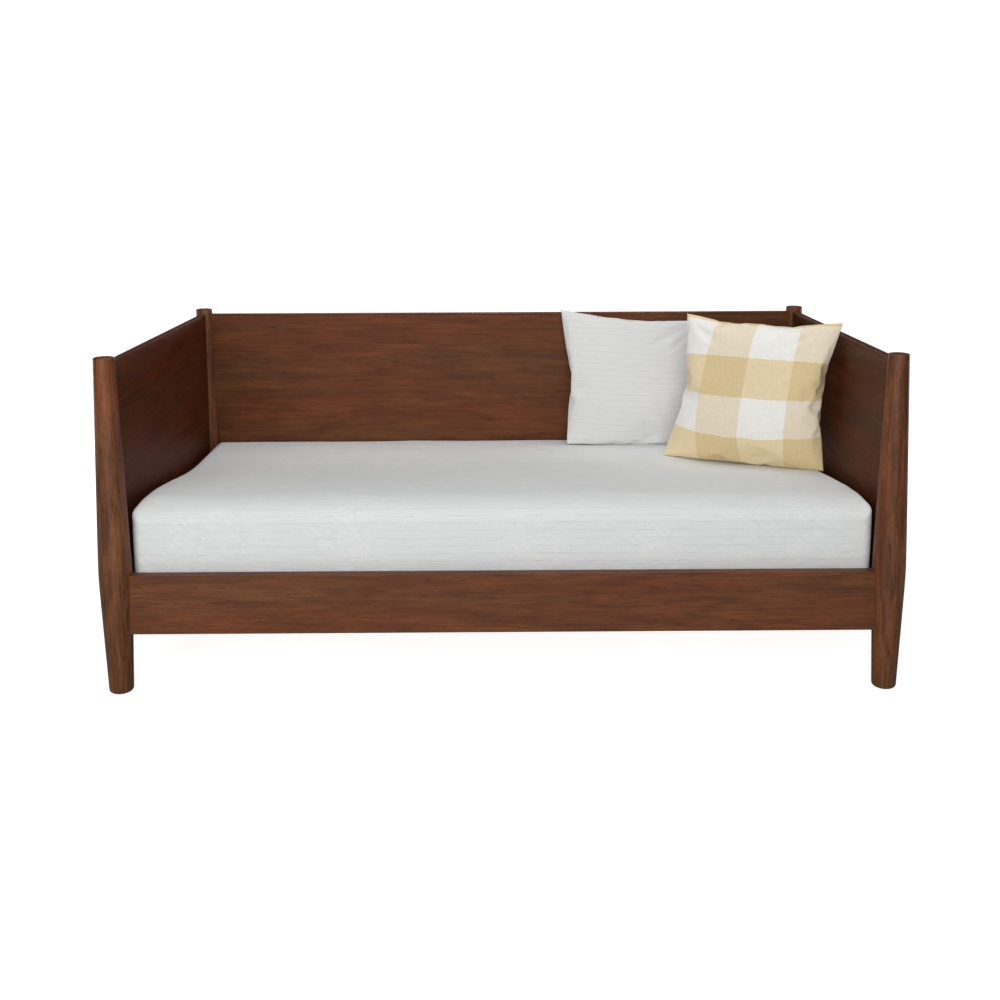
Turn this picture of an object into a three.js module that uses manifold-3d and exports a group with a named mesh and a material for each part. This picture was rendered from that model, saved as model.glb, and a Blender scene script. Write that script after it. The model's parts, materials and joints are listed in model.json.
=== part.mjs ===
/**
 * Walnut daybed: four turned posts, a full-height back panel and two side
 * panels, a bolted front rail, a slatted base, a twin mattress in a fitted
 * cover, and two loose cushions.
 *
 * Millimetres, +Z up. X runs along the bed, Y from the front (-) to the
 * back (+), and the origin is on the floor at the middle of the four posts.
 */

import * as THREE from 'three';
import { mergeVertices } from 'three/addons/utils/BufferGeometryUtils.js';
import Module from 'manifold-3d';

const wasm = await Module();
wasm.setup();

// ---------------------------------------------------------------- dimensions

const GAP = 0.3; // clearance between pieces that touch

const MATTRESS = {
  length: 1905,
  width: 991,
  bottom: 255,
  frontTop: 491,
  rearTop: 432, // the rear half is pressed flatter
  slopeFrom: -400, // the top falls from frontTop to rearTop between these Y
  slopeTo: 150,
  crown: 4,
  cornerRadius: 28,
  coverThickness: 3,
  coverEase: 2, // between the cover and the core
  coverHemHeight: 12,
};
// The soft roll from the top to a side: how far in it starts and how far down it ends.
const SOFT_EDGE = {
  end: { reach: 45, drop: 35 },
  front: { reach: 115, drop: 50 },
  rear: { reach: 45, drop: 35 },
};
const SIDE_SPACE = 29.5; // mattress to each side panel
const FRONT_SPACE = 10; // mattress to the front rail and to the back panel

const PANEL = { thickness: 20, bottom: 161, top: 864, lippingHeight: 6 };
const RAIL = { thickness: 28, bottom: 161, top: 317 };

const POST = {
  x: MATTRESS.length / 2 + SIDE_SPACE + PANEL.thickness / 2,
  y: (MATTRESS.width + 2 * FRONT_SPACE + (RAIL.thickness + PANEL.thickness) / 2) / 2,
  top: 880,
  kneeHeight: 317,
  footRadius: 30.5,
  kneeRadius: 42.5,
  topRadius: 26.3,
  kneeSoftness: 2,
  footRounding: 9,
  topRounding: 4,
  segments: 40,
};
const SLOT_FLOOR = 18; // post axis to the flat floor of each housing

const GLIDE = { radius: 14, thickness: 3, pinRadius: 2, pinLength: 15 };

const CLEAT = { width: 25, height: 30, endGap: 12 };
const SLAT = { count: 12, width: 70, thickness: 18, span: 1810, endGap: 3 };
const STRAP = { width: 25, thickness: 1.2, inset: 150 };

// Knock-down fittings: a hanger bolt in the post, and a crescent washer and
// a nut in a round pocket in the rail or panel.
const POCKET = { radius: 16, wall: 58 }; // wall: post axis to the pocket
const WASHER_SEAT = 6; // thickness of the crescent washer at its middle
const BOLT_TAIL = 4; // thread showing past the nut
const RAIL_BOLT = { radius: 4, anchor: 14, nutFlats: 13, nutThickness: 6.5, washerDepth: 18 };
const PANEL_BOLT = { radius: 3, anchor: 12, nutFlats: 10, nutThickness: 5, washerDepth: 12 };
const RAIL_BOLT_HEIGHTS = { lower: 200, upper: 278 };
const PANEL_BOLT_HEIGHTS = { lower: 260, upper: 760 };

const frontRailY = -POST.y;
const backPanelY = POST.y;
const railInnerY = frontRailY + RAIL.thickness / 2;
const panelInnerY = backPanelY - PANEL.thickness / 2;
const mattressY = (railInnerY + panelInnerY) / 2;
const slatTop = MATTRESS.bottom - GAP;
const cleatTop = slatTop - SLAT.thickness - GAP;

// Each cushion is given by its four corner tips, and leans on the frame.
const LEFT_CUSHION = {
  bottomLeft: [219, 388, 443],
  bottomRight: [660, 386, 443],
  topRight: [676, 486, 838],
  topLeft: [205, 486, 876],
  thickness: 105,
  sidePull: 18,
};
const RIGHT_CUSHION = {
  bottomLeft: [518, 235, 443],
  bottomRight: [952, -45, 459],
  topRight: [976, -90, 902],
  topLeft: [595, 285, 887],
  thickness: 125,
  sidePull: 26,
};
const CUSHION_RIM = 3; // half thickness of a cushion at its seam
const CUSHION_STEPS = 12;

// ----------------------------------------------------------------- materials

function finish(color, roughness, metalness = 0) {
  return new THREE.MeshStandardMaterial({ color, roughness, metalness });
}

const FINISH = {
  walnut: finish(0x5e3a28, 0.45),
  pine: finish(0xcdb083, 0.7),
  steel: finish(0xa9abad, 0.35, 1),
  nylon: finish(0x3a3a3a, 0.6),
  webbing: finish(0xd9d4c6, 0.9),
  foam: finish(0xe9e4d2, 0.95),
  quilting: finish(0xdedfdd, 0.9),
  stripe: finish(0xdcdcdb, 0.9),
  check: finish(0xe2cfa4, 0.9),
};

// ------------------------------------------------------------------- solids

/** Makes a manifold solid from a closed three.js geometry. */
function toSolid(geometry) {
  const bare = new THREE.BufferGeometry();
  bare.setAttribute('position', geometry.getAttribute('position'));
  bare.setIndex(geometry.getIndex());
  const merged = mergeVertices(bare, 1e-4);
  const index = merged.getIndex().array;
  const triangles = [];
  for (let i = 0; i < index.length; i += 3) {
    const [a, b, c] = index.slice(i, i + 3);
    if (a !== b && b !== c && c !== a) triangles.push(a, b, c);
  }
  return new wasm.Manifold(new wasm.Mesh({
    numProp: 3,
    vertProperties: new Float32Array(merged.getAttribute('position').array),
    triVerts: new Uint32Array(triangles),
  }));
}

/** Makes a flat-shaded three.js geometry from a manifold solid. */
function toGeometry(solid) {
  const { vertProperties, triVerts } = solid.getMesh();
  const indexed = new THREE.BufferGeometry();
  indexed.setAttribute('position', new THREE.BufferAttribute(new Float32Array(vertProperties), 3));
  indexed.setIndex(new THREE.BufferAttribute(new Uint32Array(triVerts), 1));
  const geometry = indexed.toNonIndexed();
  geometry.computeVertexNormals();
  return geometry;
}

/** A box between two corners, each [x, y, z]. */
function block(low, high) {
  const size = high.map((value, axis) => value - low[axis]);
  const geometry = new THREE.BoxGeometry(...size);
  geometry.translate(...low.map((value, axis) => value + size[axis] / 2));
  return toSolid(geometry);
}

/** A round bar along X from x0 to x1, or a hexagonal one with six segments. */
function barAlongX(radius, x0, x1, z = 0, segments = 24) {
  const geometry = new THREE.CylinderGeometry(radius, radius, x1 - x0, segments);
  geometry.rotateZ(-Math.PI / 2);
  geometry.translate((x0 + x1) / 2, 0, z);
  return toSolid(geometry);
}

/** A round bar along Y from y0 to y1. */
function barAlongY(radius, y0, y1, x, z = 0, segments = 32) {
  const geometry = new THREE.CylinderGeometry(radius, radius, y1 - y0, segments);
  geometry.translate(x, (y0 + y1) / 2, z);
  return toSolid(geometry);
}

/** A round shape about Z from a profile of [radius, height] points. */
function turned(profile, segments) {
  const points = profile.map(([radius, height]) => new THREE.Vector2(radius, height));
  const geometry = new THREE.LatheGeometry(points, segments);
  geometry.rotateX(Math.PI / 2);
  return toSolid(geometry);
}

function subtractAll(body, tools) {
  return tools.reduce((rest, tool) => rest.subtract(tool), body);
}

/** Points of a quarter circle of the given radius, from angle 0 to 90 degrees. */
function quarterCircle(radius, steps) {
  return Array.from({ length: steps + 1 }, (_, i) => {
    const angle = (i / steps) * (Math.PI / 2);
    return [radius * Math.sin(angle), radius * Math.cos(angle)];
  });
}

// --------------------------------------------------------------- knock-down

/**
 * Fittings are drawn beside a post at x = 0, with the bed towards +X, the bolt
 * at height 0 on the X axis, and the pocket open towards +Y.
 */
function boltHole(bolt, z) {
  return barAlongX(bolt.radius + GAP, -bolt.anchor - GAP, POCKET.wall + POCKET.radius, z);
}

function pocketCut(bolt, z) {
  const floor = -bolt.washerDepth / 2 - 1;
  return barAlongY(POCKET.radius, floor, RAIL.thickness, POCKET.wall + POCKET.radius, z);
}

function hangerBolt(bolt) {
  const end = POCKET.wall + WASHER_SEAT + bolt.nutThickness + BOLT_TAIL;
  return barAlongX(bolt.radius, -bolt.anchor, end);
}

function crescentWasher(bolt) {
  const reach = bolt.washerDepth / 2;
  const round = barAlongY(POCKET.radius - GAP, -reach, reach, POCKET.wall + POCKET.radius);
  const seat = block(
    [POCKET.wall - 1, -reach - 1, -POCKET.radius],
    [POCKET.wall + WASHER_SEAT, reach + 1, POCKET.radius],
  );
  return round.intersect(seat).subtract(boltHole(bolt, 0));
}

function hexNut(bolt) {
  const start = POCKET.wall + WASHER_SEAT + GAP;
  const cornerRadius = bolt.nutFlats / Math.sqrt(3);
  return barAlongX(cornerRadius, start, start + bolt.nutThickness, 0, 6)
    .subtract(boltHole(bolt, 0));
}

/** Moves a fitting, drawn as above, to the post on the side -1 (left) or 1 (right). */
function besidePost(fitting, side, y = 0, z = 0) {
  const facing = side < 0 ? fitting : fitting.mirror([1, 0, 0]);
  return facing.translate([side * POST.x, y, z]);
}

/** The holes and pockets that a rail or panel needs at both ends. */
function boltCuts(bolt, heights, y) {
  const cuts = [];
  for (const side of [-1, 1]) {
    for (const z of Object.values(heights)) {
      cuts.push(besidePost(boltHole(bolt, z), side, y));
      cuts.push(besidePost(pocketCut(bolt, z), side, y));
    }
  }
  return cuts;
}

// --------------------------------------------------------------- timber parts

/** Radius of the post: a taper up to the knee and a longer taper to the top. */
function postRadius(z) {
  const leg = POST.footRadius + ((POST.kneeRadius - POST.footRadius) * z) / POST.kneeHeight;
  const above = (z - POST.kneeHeight) / (POST.top - POST.kneeHeight);
  const upper = POST.kneeRadius + (POST.topRadius - POST.kneeRadius) * above;
  return (leg + upper - Math.hypot(leg - upper, POST.kneeSoftness)) / 2;
}

function postProfile() {
  const bottom = GLIDE.thickness + GAP;
  const foot = postRadius(bottom + POST.footRounding) - POST.footRounding;
  const crown = postRadius(POST.top - POST.topRounding) - POST.topRounding;
  const footArc = quarterCircle(POST.footRounding, 4)
    .map(([x, y]) => [foot + x, bottom + POST.footRounding - y]);
  const topArc = quarterCircle(POST.topRounding, 3)
    .map(([x, y]) => [crown + x, POST.top - POST.topRounding + y]).reverse();
  const knee = [-140, -70, -35, -12, 12, 35, 70, 140, 280]
    .map((offset) => POST.kneeHeight + offset)
    .map((z) => [postRadius(z), z]);
  return [[0, bottom], ...footArc, ...knee, ...topArc, [0, POST.top]];
}

/** A stopped housing in a post, drawn towards +X, for a board of this thickness. */
function housing(board) {
  const half = board.thickness / 2 + GAP;
  return block(
    [SLOT_FLOOR, -half, board.bottom - GAP],
    [POST.kneeRadius + 10, half, board.top + GAP],
  );
}

/** One post: sideX is -1 at the left, sideY is -1 at the front. */
function post(sideX, sideY) {
  const front = sideY < 0;
  const bolt = front ? RAIL_BOLT : PANEL_BOLT;
  const heights = front ? RAIL_BOLT_HEIGHTS : PANEL_BOLT_HEIGHTS;
  const towardsBed = sideX < 0 ? 0 : 180;
  const pinHole = turned([
    [0, 0],
    [GLIDE.pinRadius + GAP, 0],
    [GLIDE.pinRadius + GAP, GLIDE.thickness + GLIDE.pinLength + GAP],
    [0, GLIDE.thickness + GLIDE.pinLength + GAP],
  ], 16);
  return subtractAll(turned(postProfile(), POST.segments), [
    housing(front ? RAIL : PANEL).rotate([0, 0, towardsBed]),
    housing(PANEL).rotate([0, 0, -90 * sideY]),
    ...Object.values(heights).map((z) => boltHole(bolt, z).rotate([0, 0, towardsBed])),
    pinHole,
  ]).translate([sideX * POST.x, sideY * POST.y, 0]);
}

/** A low nylon disc with a nail-like pin, pressed into the foot of a post. */
function glide(sideX, sideY) {
  const pinTop = GLIDE.thickness + GLIDE.pinLength;
  return turned([
    [0, 0],
    [GLIDE.radius - 1, 0],
    [GLIDE.radius, 1],
    [GLIDE.radius, GLIDE.thickness],
    [GLIDE.pinRadius, GLIDE.thickness],
    [GLIDE.pinRadius, pinTop - 2],
    [0, pinTop],
  ], 32).translate([sideX * POST.x, sideY * POST.y, 0]);
}

const endInPost = SLOT_FLOOR + GAP; // post axis to the end of a housed board

/** A board along X from post to post, in the housings. */
function boardAlongX(y, thickness, bottom, top) {
  const reach = POST.x - endInPost;
  return block([-reach, y - thickness / 2, bottom], [reach, y + thickness / 2, top]);
}

/** A board along Y from post to post, in the housings. */
function boardAlongY(x, thickness, bottom, top) {
  const reach = POST.y - endInPost;
  return block([x - thickness / 2, -reach, bottom], [x + thickness / 2, reach, top]);
}

const boardTop = PANEL.top - PANEL.lippingHeight - GAP;
const lippingBottom = PANEL.top - PANEL.lippingHeight;

function backPanel() {
  return subtractAll(
    boardAlongX(backPanelY, PANEL.thickness, PANEL.bottom, boardTop),
    boltCuts(PANEL_BOLT, PANEL_BOLT_HEIGHTS, backPanelY),
  );
}

function frontRail() {
  return subtractAll(
    boardAlongX(frontRailY, RAIL.thickness, RAIL.bottom, RAIL.top),
    boltCuts(RAIL_BOLT, RAIL_BOLT_HEIGHTS, frontRailY),
  );
}

/** A strip along the rail (towards +Y) or along the back panel (towards -Y). */
function cleat(faceY, towards) {
  const reach = POST.x - POST.kneeRadius - CLEAT.endGap;
  const near = faceY + towards * GAP;
  const far = faceY + towards * (GAP + CLEAT.width);
  return block(
    [-reach, Math.min(near, far), cleatTop - CLEAT.height],
    [reach, Math.max(near, far), cleatTop],
  );
}

function slat(index) {
  const pitch = (SLAT.span - SLAT.width) / (SLAT.count - 1);
  const x = -SLAT.span / 2 + SLAT.width / 2 + index * pitch;
  return block(
    [x - SLAT.width / 2, railInnerY + SLAT.endGap, slatTop - SLAT.thickness],
    [x + SLAT.width / 2, panelInnerY - SLAT.endGap, slatTop],
  );
}

/** A webbing strap that is stapled under the slats and keeps their spacing. */
function slatStrap(y) {
  const reach = SLAT.span / 2 - 8;
  const top = slatTop - SLAT.thickness - GAP;
  return block(
    [-reach, y - STRAP.width / 2, top - STRAP.thickness],
    [reach, y + STRAP.width / 2, top],
  );
}

// ----------------------------------------------------------------- soft parts

/** Height of the mattress top at a distance y towards the back. */
function mattressTop(y) {
  const run = MATTRESS.slopeTo - MATTRESS.slopeFrom;
  const t = Math.min(Math.max((MATTRESS.slopeTo - y) / run, 0), 1);
  return MATTRESS.rearTop + (MATTRESS.frontTop - MATTRESS.rearTop) * t * t * (3 - 2 * t);
}

/** Lattice lines from -half to half, closer together at the two soft edges. */
function latticeLines(half, lowEdge, highEdge, middleSteps) {
  const edgeSteps = 5;
  const lines = [];
  for (let i = 0; i < edgeSteps; i += 1) lines.push(-half + (lowEdge.reach * i) / edgeSteps);
  const [start, end] = [lowEdge.reach - half, half - highEdge.reach];
  for (let i = 0; i < middleSteps; i += 1) lines.push(start + ((end - start) * i) / middleSteps);
  for (let i = 0; i <= edgeSteps; i += 1) lines.push(end + (highEdge.reach * i) / edgeSteps);
  return lines;
}

/**
 * Rolls a point of a sharp-edged box over the soft edges. x and y are measured
 * from the middle. The share is 0 on the top and grows to 1 where the roll ends.
 */
function rollOver(x, y, share, halfX, halfY) {
  const [endEdge, sideEdge] = [SOFT_EDGE.end, y < 0 ? SOFT_EDGE.front : SOFT_EDGE.rear];
  const intoX = Math.max(0, 1 - (halfX - Math.abs(x)) / endEdge.reach);
  const intoY = Math.max(0, 1 - (halfY - Math.abs(y)) / sideEdge.reach);
  const into = Math.max(intoX, intoY);
  if (into < 1e-9) return { x, y, drop: 0 };
  const angle = (Math.PI / 4) * into * (1 + share);
  const [a, b] = [intoX, intoY].map((value) => (value * Math.sin(angle)) / into);
  const weight = intoX ** 2 / (intoX ** 2 + intoY ** 2);
  const edgeDrop = weight * endEdge.drop + (1 - weight) * sideEdge.drop;
  return {
    x: intoX > 0 ? Math.sign(x) * (halfX - endEdge.reach * (1 - a)) : x,
    y: intoY > 0 ? Math.sign(y) * (halfY - sideEdge.reach * (1 - b)) : y,
    drop: edgeDrop * (1 - Math.cos(angle)),
  };
}

/** Moves a point of a rectangle so that the upright corners are round. */
function roundCorner(x, y, halfX, halfY) {
  const radius = MATTRESS.cornerRadius;
  const intoX = 1 - (halfX - Math.abs(x)) / radius;
  const intoY = 1 - (halfY - Math.abs(y)) / radius;
  if (intoX <= 0 || intoY <= 0) return [x, y];
  return [
    Math.sign(x) * (halfX - radius * (1 - intoX * Math.sqrt(1 - intoY ** 2 / 2))),
    Math.sign(y) * (halfY - radius * (1 - intoY * Math.sqrt(1 - intoX ** 2 / 2))),
  ];
}

/** The mattress shape, shrunk by inset on the sides and the top. */
function mattressShape(inset, bottom) {
  const [halfX, halfY] = [MATTRESS.length / 2 - inset, MATTRESS.width / 2 - inset];
  const xs = latticeLines(halfX, SOFT_EDGE.end, SOFT_EDGE.end, 10);
  const ys = latticeLines(halfY, SOFT_EDGE.front, SOFT_EDGE.rear, 9);
  const levels = [0, 0.5, 1, 1.25, 1.5, 1.75, 2]; // up the side to 1, over the roll to 2
  const [lastX, lastY, lastLevel] = [xs.length - 1, ys.length - 1, levels.length - 1];
  const numbers = new Map();
  const positions = [];
  const at = (i, j, k) => {
    const key = `${i} ${j} ${k}`;
    if (!numbers.has(key)) {
      const share = Math.min(2 - levels[k], 1);
      const rolled = rollOver(xs[i], ys[j], share, halfX, halfY);
      const [x, y] = roundCorner(rolled.x, rolled.y, halfX, halfY);
      const height = mattressTop(ys[j]) - inset - rolled.drop - bottom;
      const swell = (MATTRESS.crown * (1 - (xs[i] / halfX) ** 4) * levels[k]) / 2;
      numbers.set(key, positions.length / 3);
      positions.push(x, y + mattressY, bottom + height * Math.min(levels[k], 1) + swell);
    }
    return numbers.get(key);
  };
  const index = [];
  const quad = (a, b, c, d) => index.push(a, b, c, a, c, d);
  for (let i = 0; i < lastX; i += 1) {
    for (let j = 0; j < lastY; j += 1) {
      const top = lastLevel;
      quad(at(i, j, top), at(i + 1, j, top), at(i + 1, j + 1, top), at(i, j + 1, top));
      quad(at(i, j, 0), at(i, j + 1, 0), at(i + 1, j + 1, 0), at(i + 1, j, 0));
    }
  }
  for (let k = 0; k < lastLevel; k += 1) {
    for (let i = 0; i < lastX; i += 1) {
      quad(at(i, 0, k), at(i + 1, 0, k), at(i + 1, 0, k + 1), at(i, 0, k + 1));
      quad(at(i + 1, lastY, k), at(i, lastY, k), at(i, lastY, k + 1), at(i + 1, lastY, k + 1));
    }
    for (let j = 0; j < lastY; j += 1) {
      quad(at(0, j + 1, k), at(0, j, k), at(0, j, k + 1), at(0, j + 1, k + 1));
      quad(at(lastX, j, k), at(lastX, j + 1, k), at(lastX, j + 1, k + 1), at(lastX, j, k + 1));
    }
  }
  const geometry = new THREE.BufferGeometry();
  geometry.setAttribute('position', new THREE.Float32BufferAttribute(positions, 3));
  geometry.setIndex(index);
  return toSolid(geometry);
}

function mattressCore() {
  return mattressShape(MATTRESS.coverThickness + MATTRESS.coverEase, MATTRESS.bottom);
}

/** The fitted cover, which is open underneath. */
function mattressCover() {
  const hem = MATTRESS.bottom + MATTRESS.coverHemHeight;
  const outside = mattressShape(0, hem);
  return outside.subtract(mattressShape(MATTRESS.coverThickness, hem - 5));
}

/** A point on a cushion's middle surface, u and v from -1 to 1. */
function cushionPoint(cushion, u, v) {
  const [s, t] = [(u + 1) / 2, (v + 1) / 2];
  const low = new THREE.Vector3(...cushion.bottomLeft)
    .lerp(new THREE.Vector3(...cushion.bottomRight), s);
  const high = new THREE.Vector3(...cushion.topLeft)
    .lerp(new THREE.Vector3(...cushion.topRight), s);
  return low.lerp(high, t);
}

/** Unit directions across, up and out of the front of a cushion. */
function cushionAxes(cushion) {
  const across = cushionPoint(cushion, 1, 0).sub(cushionPoint(cushion, -1, 0)).normalize();
  const up = cushionPoint(cushion, 0, 1).sub(cushionPoint(cushion, 0, -1)).normalize();
  const out = across.clone().cross(up).normalize();
  return { across, up, out };
}

/** A square cushion: full in the middle, thin at the seam, sides pulled in. */
function cushion(shape) {
  const { across, up, out } = cushionAxes(shape);
  const n = CUSHION_STEPS;
  const size = n + 1;
  const positions = [];
  for (const face of [1, -1]) {
    for (let row = 0; row < size; row += 1) {
      for (let column = 0; column < size; column += 1) {
        const u = (2 * column) / n - 1;
        const v = (2 * row) / n - 1;
        const fullness = ((1 - u * u) * (1 - v * v)) ** 0.6;
        const height = CUSHION_RIM + (shape.thickness / 2 - CUSHION_RIM) * fullness;
        const point = cushionPoint(shape, u, v)
          .addScaledVector(across, -shape.sidePull * u * (1 - v * v))
          .addScaledVector(up, -shape.sidePull * v * (1 - u * u))
          .addScaledVector(out, -face * height);
        positions.push(...point.toArray());
      }
    }
  }
  const at = (layer, row, column) => layer * size * size + row * size + column;
  const index = [];
  const quad = (a, b, c, d) => index.push(a, b, c, a, c, d);
  for (let i = 0; i < n; i += 1) {
    for (let j = 0; j < n; j += 1) {
      quad(at(0, i, j), at(0, i + 1, j), at(0, i + 1, j + 1), at(0, i, j + 1));
      quad(at(1, i, j), at(1, i, j + 1), at(1, i + 1, j + 1), at(1, i + 1, j));
    }
    quad(at(0, 0, i), at(0, 0, i + 1), at(1, 0, i + 1), at(1, 0, i));
    quad(at(0, n, i + 1), at(0, n, i), at(1, n, i), at(1, n, i + 1));
    quad(at(0, i + 1, 0), at(0, i, 0), at(1, i, 0), at(1, i + 1, 0));
    quad(at(0, i, n), at(0, i + 1, n), at(1, i + 1, n), at(1, i, n));
  }
  const geometry = new THREE.BufferGeometry();
  geometry.setAttribute('position', new THREE.Float32BufferAttribute(positions, 3));
  geometry.setIndex(index);
  return toSolid(geometry);
}

// ------------------------------------------------------------------ assembly

const daybed = new THREE.Group();
daybed.name = 'daybed';

function add(name, solid, material) {
  const mesh = new THREE.Mesh(toGeometry(solid), material);
  mesh.name = name;
  daybed.add(mesh);
}

const SIDES = { left: -1, right: 1 };
const ENDS = { front: -1, rear: 1 };

for (const [end, sideY] of Object.entries(ENDS)) {
  for (const [side, sideX] of Object.entries(SIDES)) {
    add(`post_${end}_${side}`, post(sideX, sideY), FINISH.walnut);
    add(`glide_${end}_${side}`, glide(sideX, sideY), FINISH.nylon);
  }
}

const backLipping = boardAlongX(backPanelY, PANEL.thickness, lippingBottom, PANEL.top);
add('back_panel', backPanel(), FINISH.walnut);
add('back_panel_lipping', backLipping, FINISH.walnut);
for (const [side, sideX] of Object.entries(SIDES)) {
  const board = (bottom, top) => boardAlongY(sideX * POST.x, PANEL.thickness, bottom, top);
  add(`${side}_side_panel`, board(PANEL.bottom, boardTop), FINISH.walnut);
  add(`${side}_side_lipping`, board(lippingBottom, PANEL.top), FINISH.walnut);
}

add('front_rail', frontRail(), FINISH.walnut);
add('front_cleat', cleat(railInnerY, 1), FINISH.pine);
add('rear_cleat', cleat(panelInnerY, -1), FINISH.pine);

for (let i = 0; i < SLAT.count; i += 1) {
  add(`slat_${String(i + 1).padStart(2, '0')}`, slat(i), FINISH.pine);
}
add('slat_strap_front', slatStrap(railInnerY + STRAP.inset), FINISH.webbing);
add('slat_strap_rear', slatStrap(panelInnerY - STRAP.inset), FINISH.webbing);

const JOINTS = [
  { board: 'rail', bolt: RAIL_BOLT, heights: RAIL_BOLT_HEIGHTS, y: frontRailY },
  { board: 'panel', bolt: PANEL_BOLT, heights: PANEL_BOLT_HEIGHTS, y: backPanelY },
];
for (const { board, bolt, heights, y } of JOINTS) {
  for (const [side, sideX] of Object.entries(SIDES)) {
    for (const [level, z] of Object.entries(heights)) {
      const place = (fitting) => besidePost(fitting, sideX, y, z);
      add(`${board}_bolt_${side}_${level}`, place(hangerBolt(bolt)), FINISH.steel);
      add(`${board}_washer_${side}_${level}`, place(crescentWasher(bolt)), FINISH.steel);
      add(`${board}_nut_${side}_${level}`, place(hexNut(bolt)), FINISH.steel);
    }
  }
}

add('mattress_core', mattressCore(), FINISH.foam);
add('mattress_cover', mattressCover(), FINISH.quilting);
add('left_pillow', cushion(LEFT_CUSHION), FINISH.stripe);
add('right_pillow', cushion(RIGHT_CUSHION), FINISH.check);

export default daybed;
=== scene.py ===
"""The looks of the walnut daybed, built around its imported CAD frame.

Metres, in the CAD frame: X runs along the bed, Y from the front (-) to the
back (+), Z up, and the origin is on the floor at the middle of the four posts.
"""

import itertools
import json
import math

import bmesh
import bpy
import numpy as np
from mathutils import Matrix, Vector, noise

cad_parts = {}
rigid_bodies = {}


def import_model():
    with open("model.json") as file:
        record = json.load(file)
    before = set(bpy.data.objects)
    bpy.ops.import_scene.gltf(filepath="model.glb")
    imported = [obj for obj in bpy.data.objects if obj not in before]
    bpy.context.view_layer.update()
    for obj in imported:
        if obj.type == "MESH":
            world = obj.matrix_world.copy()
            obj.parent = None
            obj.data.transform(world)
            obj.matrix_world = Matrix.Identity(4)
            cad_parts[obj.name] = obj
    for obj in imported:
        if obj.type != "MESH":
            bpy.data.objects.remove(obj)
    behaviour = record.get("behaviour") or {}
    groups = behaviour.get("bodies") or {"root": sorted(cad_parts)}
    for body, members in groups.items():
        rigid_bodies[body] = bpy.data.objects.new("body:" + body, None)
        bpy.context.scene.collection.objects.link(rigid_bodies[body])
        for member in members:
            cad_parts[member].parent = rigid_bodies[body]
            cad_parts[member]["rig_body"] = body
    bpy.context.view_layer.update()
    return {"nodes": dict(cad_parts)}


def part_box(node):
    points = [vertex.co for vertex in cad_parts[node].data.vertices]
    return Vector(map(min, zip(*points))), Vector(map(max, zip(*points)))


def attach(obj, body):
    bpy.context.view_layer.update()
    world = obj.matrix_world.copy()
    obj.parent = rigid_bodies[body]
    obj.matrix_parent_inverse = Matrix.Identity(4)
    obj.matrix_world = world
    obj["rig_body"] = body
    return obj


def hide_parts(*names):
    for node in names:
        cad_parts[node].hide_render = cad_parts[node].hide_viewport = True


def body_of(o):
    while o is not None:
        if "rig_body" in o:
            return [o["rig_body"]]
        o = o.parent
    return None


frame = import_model()

# ---------------------------------------------------------------- dimensions

SIDES = {"left": -1, "right": 1}
ENDS = {"front": -1, "rear": 1}

POST_X = 0.992
POST_Y = 0.5175
POST_TOP = 0.880
POST_BOTTOM = 0.0033
KNEE_HEIGHT = 0.317
FOOT_RADIUS = 0.0305
KNEE_RADIUS = 0.0425
TOP_RADIUS = 0.0263
KNEE_SOFTNESS = 0.002
FOOT_ROUNDING = 0.009
TOP_ROUNDING = 0.004
HOUSING_FLOOR = 0.018  # post axis to the flat floor of a board's housing
HOUSING_GAP = 0.0003
BOARD_BOTTOM = 0.161
RAIL_THICKNESS, RAIL_TOP = 0.028, 0.317
PANEL_THICKNESS, PANEL_TOP = 0.020, 0.864
PANEL_EDGE = 0.0008  # how far a veneered edge is eased
SOLID_EDGE = 0.0014  # the same for solid wood

SLAT_COUNT = 12
SLAT_WIDTH = 0.070
SLAT_FIELD = 1.810  # outer edge of the first slat to outer edge of the last
STRAP_SAG = 0.0015  # of a strap between two slats
HARDWARE = [
    f"{board}_{part}_{side}_{level}"
    for board in ("rail", "panel")
    for part in ("bolt", "washer", "nut")
    for side in SIDES
    for level in ("lower", "upper")
]

MATTRESS_BOTTOM, FRONT_TOP, REAR_TOP = 0.255, 0.488, 0.434
SLOPE_FROM, SLOPE_TO = -0.430, 0.230  # the top falls from front to rear between these Y
MATTRESS_HALF_X, MATTRESS_HALF_Y, MATTRESS_Y = 0.9580, 0.4955, 0.002
# The soft roll from the top to a side: how far in it starts, how far down it ends.
END_REACH, END_DROP = 0.030, 0.025
FRONT_REACH, FRONT_DROP = 0.115, 0.050
REAR_REACH, REAR_DROP = 0.045, 0.035
CROWN = 0.003
CORNER_RADIUS = 0.028
COVER_THICKNESS = 0.0025
COVER_STRIPE_PITCH = 0.0205
HEM_HEIGHT = 0.012
FOAM_GAP = 0.008  # between the foam and its cover
COVER_CELL, FOAM_CELL = 0.0085, 0.024
WALL_HEIGHT, ROLL_HEIGHT = 0.17, 0.05  # rough heights of a side and of its soft roll, for the mesh

# Where the rail grips the cover: heights of the puckers and of the tuck, and how far each spreads.
PUCKER_HEIGHT, PUCKER_SPREAD, PUCKER_DEPTH = 0.325, 0.014, 0.0014
TUCK_HEIGHT, TUCK_SPREAD, TUCK_DEPTH = 0.315, 0.020, 0.0030

# Each cushion hangs between its four corner tips, and stands on the mattress.
LEFT_CUSHION = {
    "bottom_left": (0.219, 0.388, 0.438),
    "bottom_right": (0.660, 0.386, 0.438),
    "top_right": (0.676, 0.485, 0.838),
    "top_left": (0.205, 0.485, 0.876),
}
RIGHT_CUSHION = {
    "bottom_left": (0.518, 0.235, 0.437),
    "bottom_right": (0.952, -0.045, 0.453),
    "top_right": (0.976, -0.090, 0.902),
    "top_left": (0.595, 0.285, 0.887),
}

# ------------------------------------------------------------- mesh building


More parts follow.
